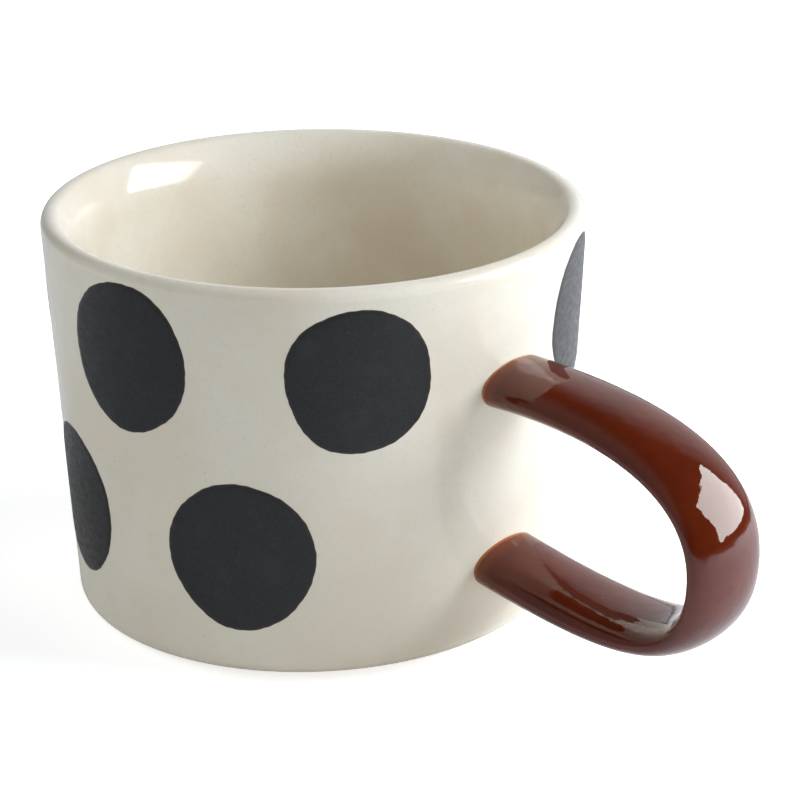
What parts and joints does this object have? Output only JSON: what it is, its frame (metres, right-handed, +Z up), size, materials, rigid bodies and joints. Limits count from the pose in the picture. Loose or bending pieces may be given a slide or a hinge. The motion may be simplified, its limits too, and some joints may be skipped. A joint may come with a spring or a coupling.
{
  "type": "stoneware mug",
  "caption": "Wide, slightly flared stoneware mug with a looped strap handle, round painted dots on a pale glaze and a bare foot ring.",
  "frame": {"origin": "centre of the foot ring, in the plane that the mug stands on", "axes": "+Z up along the cup's axis, +X from the axis out through the middle of the handle, +Y to the left seen from the handle's outer end"},
  "size_m": [0.1483, 0.1, 0.0754],
  "materials": {
    "bare_stoneware": "matte",
    "cream_glaze": "gloss",
    "chestnut_glaze": "gloss",
    "black_paint": "satin"
  },
  "bodies": {
    "root": {"cup_body": "bare_stoneware", "inside_glaze": "cream_glaze", "outside_glaze": "cream_glaze", "handle_strap": "bare_stoneware", "handle_glaze": "chestnut_glaze", "upper_joint_slip": "cream_glaze", "lower_joint_slip": "cream_glaze", "upper_dot_1": "black_paint", "upper_dot_2": "black_paint", "upper_dot_3": "black_paint", "upper_dot_4": "black_paint", "upper_dot_5": "black_paint", "upper_dot_6": "black_paint", "lower_dot_1": "black_paint", "lower_dot_2": "black_paint", "lower_dot_3": "black_paint", "lower_dot_4": "black_paint", "lower_dot_5": "black_paint"}
  },
  "joints": []
}
